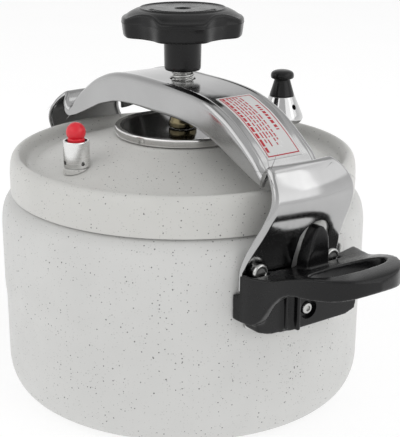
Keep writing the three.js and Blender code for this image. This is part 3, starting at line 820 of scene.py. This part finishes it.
def label():
    low, high = span("label_plate")
    start, end, half = low.x + 0.6, high.x - 0.2, high.y
    film = arch_strip("label_plate_finish", (start, end), -half, half, -STRIP_SINK + 0.06, 0.3, 40)
    dress(film, "yoke", "label_film", FILM, "label_plate")
    lift = -STRIP_SINK + 0.365
    inset, line = 1.3, 0.6
    bars = [
        arch_strip("bar", (start + inset, end - inset), -half + inset, -half + inset + line, lift, 0.05, 30),
        arch_strip("bar", (start + inset, end - inset), half - inset - line, half - inset, lift, 0.05, 30),
        arch_strip("bar", (start + inset, start + inset + line), -half + inset, half - inset, lift, 0.05, 2),
        arch_strip("bar", (end - inset - line, end - inset), -half + inset, half - inset, lift, 0.05, 2),
    ]
    order = random.Random(7)
    for y, tall, first, last, longest in LABEL_ROWS:
        at = first
        while at < last:
            length = min(order.uniform(0.45, 1.0) * longest, last - at)
            if length > 0.6:
                bars.append(arch_strip("bar", (at, at + length), y - tall / 2, y + tall / 2, lift, 0.06, 3))
            at += length + order.uniform(0.7, 1.1)
    dress(join("label_bars", bars), "yoke", "label_film", PRINT)


# ---- screw and knob
def threaded(name, radius, root, pitch, z0, z1, steps=64, rows_per_turn=12):
    """A rod with a rounded helical thread that runs out at both ends."""
    rows = int((z1 - z0) / pitch * rows_per_turn)
    verts, faces = [], []
    for r in range(rows + 1):
        z = z0 + (z1 - z0) * r / rows
        ends = min(1.0, min(z - z0, z1 - z) / (0.7 * pitch))
        for i in range(steps):
            turn = i / steps
            wave = 0.5 + 0.5 * math.cos(math.tau * (z / pitch - turn))
            depth = (radius - root) * (1 - (1 - wave) ** 2.2) * ends
            angle = math.tau * turn
            verts.append(((root + depth) * math.cos(angle), (root + depth) * math.sin(angle), z))
    for r in range(rows):
        for i in range(steps):
            j = (i + 1) % steps
            faces.append((r * steps + i, r * steps + j, (r + 1) * steps + j, (r + 1) * steps + i))
    faces.append(tuple(range(steps)))
    faces.append(tuple(rows * steps + i for i in range(steps)))
    return mesh_object(name, verts, faces)


def screw():
    low, high = span("screw_spindle")
    thread = threaded("thread", SCREW_R, SCREW_R - 1.0, 3.0, 187.6, 212)
    shank = spin("shank", soften([
        (0, low.z), (4.2, low.z, 0.4), (4.2, 183, 0.3), (SCREW_R - 0.2, 183.6, 0.4),
        (SCREW_R - 0.2, 187.6, 0.4), (SCREW_R - 1.2, 188.2, 0.2), (SCREW_R - 1.2, 211.5, 0.2),
        (SCREW_R - 0.2, 212, 0.2), (SCREW_R - 0.2, high.z, 0.5), (0, high.z),
    ]), steps=64)
    dress(join("screw_spindle_finish", [thread, shank]), "screw", "steel", STEEL, "screw_spindle")

    low, high = span("screw_foot")
    outline = [
        (0, low.z), (9.1, low.z, 0.8), (9.1, 176.0, 0.8), (8.2, 178.4, 1.2), (7.6, 180.6, 1),
        (7.6, high.z, 0.5), (4.6, high.z, 0.3), (4.6, 177.6), (0, 177.6),
    ]
    turned("screw_foot", outline, "screw_pad", "brass", BRASS)

    low, high = span("screw_collar")
    outline = [
        (SCREW_R + 0.3, low.z, 0.3), (high.x, low.z, 0.5), (high.x, high.z, 0.5),
        (SCREW_R + 0.3, high.z, 0.3),
    ]
    turned("screw_collar", outline, "screw", "steel", STEEL, loop=True)


LOBES = 4
LOBE_R = 39.0
FLUTE_R = 33.0
LOBE_TURN = math.radians(-35)
DOME = [(0, 249.3), (14, 249.3), (25, 249.4), (29, 249.1), (32, 247.9), (35, 246.2), (37.4, 244.0),
        (39.4, 241.4)]


def knob_radius(angle):
    """The knob's outline: round lobes with shallow flutes between them."""
    wave = math.cos(LOBES * (angle - LOBE_TURN))
    return FLUTE_R + (LOBE_R - FLUTE_R) * eased(wave, -1.1, 0.25)


def dome_z(radius):
    for a, b in zip(DOME_LINE, DOME_LINE[1:]):
        if radius <= b[0]:
            return a[1] + (b[1] - a[1]) * (radius - a[0]) / max(b[0] - a[0], 1e-6)
    return DOME_LINE[-1][1]


DOME_LINE = curve_through(DOME, 8)


def knob():
    steps = 192
    hub = 12.1
    verts, faces = [], []
    rows = None
    for i in range(steps):
        angle = i * math.tau / steps
        edge = knob_radius(angle)
        column = [(4.9, 236.5), (4.9, 247.9), (5.0, 248.7), (5.5, 249.3)]
        column += [(r, dome_z(r)) for r in (8, 12, 16, 20, 23, 25)]
        for r in (25.8, 26.3, 26.7, 27.1, 27.5, 27.9, 28.4):
            column.append((r, dome_z(r) + 0.75 * math.exp(-((r - 27.1) / 0.62) ** 2)))
        inner = edge - 2.4
        column += [(29.2 + (inner - 29.2) * k / 5, dome_z(29.2 + (inner - 29.2) * k / 5)) for k in range(6)]
        top = dome_z(inner)
        for k in range(1, 6):
            turn = math.radians(90 * k / 5)
            column.append((inner + 2.4 * math.sin(turn), top - 2.3 * (1 - math.cos(turn))))
        side = top - 2.3
        column += [(edge - 0.02, max(side - 1.0, 242.2)), (edge - 0.1, 241.9), (edge + 0.12, 241.5),
                   (edge + 0.12, 241.1),
                   (edge - 0.12, 240.7), (edge - 0.5, 237), (edge - 0.9, 234.4)]
        for k in range(1, 5):
            turn = math.radians(90 * k / 4)
            column.append((edge - 0.9 - 1.8 * (1 - math.cos(turn)), 234.2 - 2.0 * math.sin(turn)))
        column += [(edge - 5, 232.1), (22, 232.1), (hub + 1.8, 232.1), (hub + 0.5, 231.7), (hub + 0.1, 230.6)]
        column += [(hub, 229), (hub - 0.25, 213), (hub - 0.4, 211.2), (hub - 0.9, 210.3), (hub - 1.7, 210.05),
                   (7.8, 210.05),
                   (7.7, 211), (7.7, 236.5)]
        rows = len(column)
        verts += [(r * math.cos(angle), r * math.sin(angle), z) for r, z in column]
    for i in range(steps):
        j = (i + 1) % steps
        for r in range(rows - 1):
            faces.append((i * rows + r, i * rows + r + 1, j * rows + r + 1, j * rows + r))
    shape = mesh_object("knob_finish", verts, faces)
    tidy_mesh(shape, 50)
    dress(shape, "screw", "bakelite", BAKELITE, "knob")

    reach = math.radians(68)
    path = []
    for radius, ends in ((22.6, (-reach, reach)), (19.4, (reach, -reach))):
        for k in range(41):
            angle = LOBE_TURN + ends[0] + (ends[1] - ends[0]) * k / 40
            path.append((radius * math.cos(angle), radius * math.sin(angle)))
        side = LOBE_TURN + ends[1]
        middle = (21 * math.cos(side), 21 * math.sin(side))
        swing = 1 if ends[1] > 0 else -1
        for k in range(1, 8):
            angle = side + (0 if swing > 0 else math.pi) + math.pi * k / 8
            path.append((middle[0] + 1.6 * math.cos(angle), middle[1] + 1.6 * math.sin(angle)))
    mark = bead("knob_mark", path, 249.28, 0.55, 0.42)
    dress(mark, "screw", "bakelite", BAKELITE)

    head = span("knob_screw")[1].z
    outline = [(0, 236.5), (2.5, 236.5, 0.2), (2.5, head - 2.6), (4.4, head - 2.6, 0.3),
               (4.2, head - 0.6, 0.7),
               (1.5, head, 0.2), (1.4, head - 1.4, 0.2), (0, head - 1.4)]
    turned("knob_screw", outline, "screw", "steel", STEEL, steps=64)
    low, high = span("knob_washer")
    outline = [(2.9, low.z, 0.1), (4.5, low.z, 0.2), (4.5, high.z, 0.2), (2.9, high.z, 0.1)]
    turned("knob_washer", outline, "screw", "steel", STEEL, steps=64, loop=True)


def bead(name, path, z, half, height):
    """A raised rounded line that follows a closed path on a level surface."""
    count = len(path)
    section = [(-half, -0.2), (-half * 0.8, height * 0.6), (0, height), (half * 0.8, height * 0.6),
               (half, -0.2)]
    verts, faces = [], []
    for i, point in enumerate(path):
        ahead = Vector(path[(i + 1) % count]) - Vector(path[i - 1])
        side = Vector((ahead.y, -ahead.x)).normalized()
        verts += [(point[0] + side.x * s, point[1] + side.y * s, z + h) for s, h in section]
    wide = len(section)
    for i in range(count):
        j = (i + 1) % count
        for k in range(wide):
            m = (k + 1) % wide
            faces.append((i * wide + k, i * wide + m, j * wide + m, j * wide + k))
    return mesh_object(name, verts, faces)


# ---- handles, brackets and their fasteners
BRACKET_R = (120.4, 121.8)
BOLT_Z = 88.0
RIVET_Y = (27.0, -27.0)
RIVET_Z = 97.0
LOOP_EDGE = [(104, 44.4), (122, 43.4), (136, 39.8), (152, 36.6), (166, 32.2), (177, 25), (184.2, 14),
             (187, 0)]
HOLE_EDGE = [(148.4, 0), (149.4, 12), (153.6, 21.6), (160, 25.0), (166.2, 21.6), (169.4, 12), (170.4, 0)]
SIDE_TOP = [(187.2, 123.0), (184.6, 125.6), (178, 126.4), (164, 125.0), (150, 121.2), (140, 117.6),
            (130, 116.2), (100, 114.4)]
SIDE_LOW = [(127, 86.5), (132.4, 90.5), (140, 102), (147, 109.4), (155, 112.6), (170, 113.4), (180, 114.8),
            (185.8, 117.2)]


def mirrored(points):
    return [(x, -y) for x, y in reversed(points)]


def disc_ring(name, inner, outer, z0, z1, steps=192):
    return spin(name, [(inner, z0), (outer, z0), (outer, z1), (inner, z1)], steps=steps, loop=True)


def handle():
    edge = curve_through(LOOP_EDGE, 5)
    body = prism("handle_right_finish", edge + mirrored(edge)[1:], "z", 60, 150)
    side = [(100, 86.5)] + curve_through(SIDE_LOW, 5) + [(188, 119)] + curve_through(SIDE_TOP, 5)
    combine(body, "INTERSECT", prism("tool", side, "y", -60, 60))
    hollow = prism("tool", [(-34, 70), (34, 70), (34, 104), (28, 109), (-28, 109), (-34, 104)], "x", 129, 158)
    combine(hollow, "INTERSECT",
            prism("tool", [(110, 60), (158, 60), (158, 109), (129, 109), (110, 90)], "y", -40, 40))
    combine(body, "DIFFERENCE", hollow)
    plate = [(-38, 82), (-30, 79), (-12, 77), (30, 77), (38, 79.4), (41, 112), (-41, 112)]
    combine(body, "UNION", prism("tool", plate, "x", 108, 129))
    combine(body, "UNION", prism("tool", [(-11.6, 78), (-9, 78), (-9, 110), (-11.6, 110)], "x", 128, 133))
    combine(body, "UNION", prism("tool", [(-19.6, 80), (-18, 80), (-18, 110), (-19.6, 110)], "x", 128, 132))
    nose = [(-9.6, 108), (6.4, 108), (6.4, 133), (5.2, 137.6), (2.8, 140.6), (0.4, 141.6), (-2.2, 140.4),
            (-5, 136.4),
            (-9.6, 122)]
    front = prism("tool", nose, "x", 127, 138)
    combine(front, "INTERSECT",
            prism("tool", [(126, 100), (150, 100), (142, 118), (138, 128), (136.6, 144), (129, 144)],
                                      "y", -20, 20))
    combine(body, "UNION", front)
    finger = curve_through(HOLE_EDGE, 5)
    finger = finger + mirrored(finger)[1:-1]
    combine(body, "DIFFERENCE", flared("tool", finger, 90, 116, 140, (159.6, 0), 1.22))
    combine(body, "DIFFERENCE", rod(POT_R + 0.5, 60, 150, 192))
    combine(body, "DIFFERENCE", disc_ring("tool", 100, STUD_SEAT_R, FOOT_Z - 1.5, 150))
    inner = rod(BRACKET_R[1] + 0.3, 60, 150, 192)
    combine(inner, "INTERSECT", prism("tool", [(-39, 78), (39, 78), (39, 150), (-39, 150)], "x", 90, 130))
    combine(body, "DIFFERENCE", inner)
    for y in STUD_Y:
        seat = math.sqrt(STUD_SEAT_R ** 2 - y * y)
        combine(body, "DIFFERENCE", outwards(rod(6, seat - 6, seat + 5.8), y, STUD_Z))
    remesh = body.modifiers.new("even", "REMESH")
    remesh.mode = "VOXEL"
    remesh.voxel_size = 0.75 * MM
    smooth = body.modifiers.new("rounded", "SMOOTH")
    smooth.factor = 0.5
    smooth.iterations = 12
    settle(body)
    recess = outwards(spin("tool", soften([(0, 126.5), (6.2, 126.5), (6.2, 150), (0, 150)]), steps=64), 0,
                      BOLT_Z)
    bore = outwards(rod(3.3, 100, 130), 0, BOLT_Z)
    cut(body, [recess, bore], angle=45)
    dress(body, "pot", "bakelite", BAKELITE, "handle_right")
    other = turned_copy(body, "handle_left_finish")
    dress(other, "pot", "bakelite", BAKELITE, "handle_left")


def flared(name, outline, z0, z1, z2, centre, growth):
    """An upright prism that widens between z1 and z2."""
    count = len(outline)
    wide = [(centre[0] + (x - centre[0]) * growth, centre[1] + (y - centre[1]) * growth) for x, y in outline]
    verts = [(x, y, z) for row, z in ((outline, z0), (outline, z1), (wide, z2)) for x, y in row]
    faces = [list(range(count)), list(range(2 * count, 3 * count))]
    for layer in (0, count):
        faces += [[layer + i, layer + (i + 1) % count, layer + count + (i + 1) % count, layer + count + i]
                  for i in range(count)]
    return mesh_object(name, verts, faces)


def combine(piece, operation, tool):
    """Cuts, joins or intersects a piece with one tool mesh, and removes the tool."""
    modifier = piece.modifiers.new("combine", "BOOLEAN")
    modifier.operation = operation
    modifier.solver = "EXACT"
    modifier.object = tool
    settle(piece)
    bpy.data.objects.remove(tool)


def both_sides(piece, base, body, slot, material):
    """Dresses a piece on the +X side and its copy on the other."""
    name = piece.name
    dress(piece, body, slot, material, base.format(side="right"))
    dress(turned_copy(piece, name.replace("right", "left")), body, slot, material, base.format(side="left"))


def brackets():
    low, high = span("bracket_right")
    plate = disc_ring("bracket_right_finish", *BRACKET_R, low.z - 5, high.z + 5, steps=256)
    outline = [(-37, low.z, 3), (37, low.z, 3), (38.4, high.z, 3), (10, high.z, 2), (10, 110, 3),
               (-27, 110, 3),
               (-27, high.z, 2), (-38.4, high.z, 3)]
    combine(plate, "INTERSECT", prism("tool", soften(outline, loop=True), "x", 90, 130))
    drills = [(y, STUD_Z, 2.3) for y in STUD_Y] + [(y, RIVET_Z, 2.7) for y in RIVET_Y] + [(0, BOLT_Z, 3.4)]
    cut(plate, [outwards(rod(r, 90, 130, 32), y, z) for y, z, r in drills])
    both_sides(plate, "bracket_{side}", "pot", "steel", STEEL)


def fasteners():
    for i, y in enumerate(STUD_Y):
        start = math.sqrt(120.8 ** 2 - y * y)
        seat = math.sqrt(STUD_SEAT_R ** 2 - y * y) + 2.8
        outline = [(0, start), (2, start, 0.3), (2, seat - 0.4), (4.4, seat - 0.2, 0.2),
                   (5.2, seat + 0.4, 0.4), (5.2, seat + 1.7, 0.5), (4.5, seat + 2.5, 0.5),
                   (3.5, seat + 2.5, 0.3), (3.2, seat + 1.9, 0.4),
                   (0, seat + 2.0)]
        stud = outwards(spin(f"stud_right_{i + 1}_finish", soften(outline), steps=72), y, STUD_Z)
        both_sides(stud, f"stud_{{side}}_{i + 1}", "pot", "steel", STEEL)
    for i, y in enumerate(RIVET_Y):
        outside = math.sqrt(BRACKET_R[1] ** 2 - y * y)
        inside = math.sqrt(117.0 ** 2 - y * y) - 1.6
        outline = [(0, inside - 2.0), (3.0, inside - 1.7, 1.4), (4.6, inside - 0.3, 0.4),
                   (2.3, inside - 0.3, 0.1), (2.3, outside + 1.1, 0.1), (4.6, outside + 1.2, 0.4),
                   (3.4, outside + 2.6, 1.4),
                   (0, outside + 3)]
        rivet = outwards(spin(f"bracket_rivet_right_{i + 1}_finish", soften(outline), steps=48), y, RIVET_Z)
        both_sides(rivet, f"bracket_rivet_{{side}}_{i + 1}", "pot", "bright_aluminium", RIVET_ALUMINIUM)
    outline = [(3.0, BRACKET_R[1] + 0.3, 0.2), (5.2, BRACKET_R[1] + 0.3, 0.4), (5.2, 124.5, 0.4),
               (3.0, 124.5, 0.2)]
    nut = outwards(spin("bracket_nut_right_finish", soften(outline, loop=True), steps=6, loop=True), 0,
                   BOLT_Z)
    both_sides(nut, "bracket_nut_{side}", "pot", "steel", STEEL)
    outline = [(0, 121.3), (2.9, 121.3, 0.3), (2.9, 126.8), (3.9, 126.8, 0.3), (3.9, 127.4, 0.5),
               (3.1, 128.6, 0.7),
               (1.7, 128.8, 0.2), (1.6, 127.6, 0.2), (0, 127.6)]
    bolt = outwards(spin("handle_bolt_right_finish", soften(outline), steps=64), 0, BOLT_Z)
    both_sides(bolt, "handle_bolt_{side}", "pot", "steel", STEEL)


# ---- floor, light and camera
def stage_floor():
    floor = spin("floor", [(0, -0.4), (300, -0.4), (1500, -0.4), (6000, -0.4)], steps=64)
    paper = new_material("floor_paper", (0.34, 0.34, 0.34), 0.85)
    grain = ramp(paper, noise(paper, 6, 3), 0.3, 0.7, 0, 1)
    feed(paper, "Base Color", mix(paper, grain, (0.335, 0.335, 0.335, 1), (0.345, 0.345, 0.345, 1)))
    principled = paper.node_tree.nodes["Principled BSDF"]
    principled.inputs["Emission Color"].default_value = (1.0, 1.0, 1.0, 1.0)
    principled.inputs["Emission Strength"].default_value = 0.70
    floor.data.materials.append(paper)


def area_light(name, place, target, size, power):
    light = bpy.data.lights.new(name, "AREA")
    light.shape = "RECTANGLE"
    light.size, light.size_y = size
    light.energy = power
    lamp = bpy.data.objects.new(name, light)
    lamp.location = Vector(place)
    lamp.rotation_euler = (Vector(target) - Vector(place)).to_track_quat("-Z", "Y").to_euler()
    bpy.context.collection.objects.link(lamp)


def studio():
    world = bpy.data.worlds.new("studio")
    bpy.context.scene.world = world
    world.use_nodes = True
    tree = world.node_tree
    back = tree.nodes["Background"]
    place = tree.nodes.new("ShaderNodeTexCoord")
    parts = tree.nodes.new("ShaderNodeSeparateXYZ")
    level = tree.nodes.new("ShaderNodeMapRange")
    level.inputs["From Min"].default_value = 0.0
    level.inputs["From Max"].default_value = 0.9
    level.inputs["To Min"].default_value = 1.0
    level.inputs["To Max"].default_value = 0.45
    tree.links.new(place.outputs["Generated"], parts.inputs[0])
    tree.links.new(parts.outputs[2], level.inputs[0])
    tree.links.new(level.outputs[0], back.inputs["Strength"])
    back.inputs["Color"].default_value = (1.0, 1.0, 1.0, 1.0)
    area_light("key", (-0.2, -1.6, 1.3), (0, 0, 0.1), (2.4, 1.6), 11)
    area_light("top", (0.3, 0.2, 1.8), (0.05, 0, 0.1), (2.2, 1.8), 4)
    area_light("side", (1.6, 0.5, 0.9), (0.05, 0, 0.12), (1.4, 1.4), 5)
    area_light("foot", (0.9, 1.1, 1.25), (0.12, 0, 0.16), (1.5, 1.3), 4)


def camera():
    lens = bpy.data.cameras.new("camera")
    lens.lens = CAMERA_LENS
    lens.sensor_width = 36
    lens.shift_x = CAMERA_SHIFT
    eye = bpy.data.objects.new("camera", lens)
    azimuth = math.radians(CAMERA_AZIMUTH)
    eye.location = Vector((CAMERA_FAR * math.sin(azimuth), -CAMERA_FAR * math.cos(azimuth), CAMERA_Z)) * MM
    eye.rotation_euler = (math.radians(90 - CAMERA_PITCH), 0, azimuth)
    bpy.context.collection.objects.link(eye)
    bpy.context.scene.camera = eye


pot()
lid()
gasket()
pressure_disc()
hex_nut("disc_bolt_nut_finish", "disc_bolt_nut", 3.6)
safety_valve()
vent()
weight()
yoke()
yoke_bush()
label()
screw()
knob()
handle()
brackets()
fasteners()
stage_floor()
studio()
camera()
bpy.context.scene.view_settings.view_transform = "Standard"
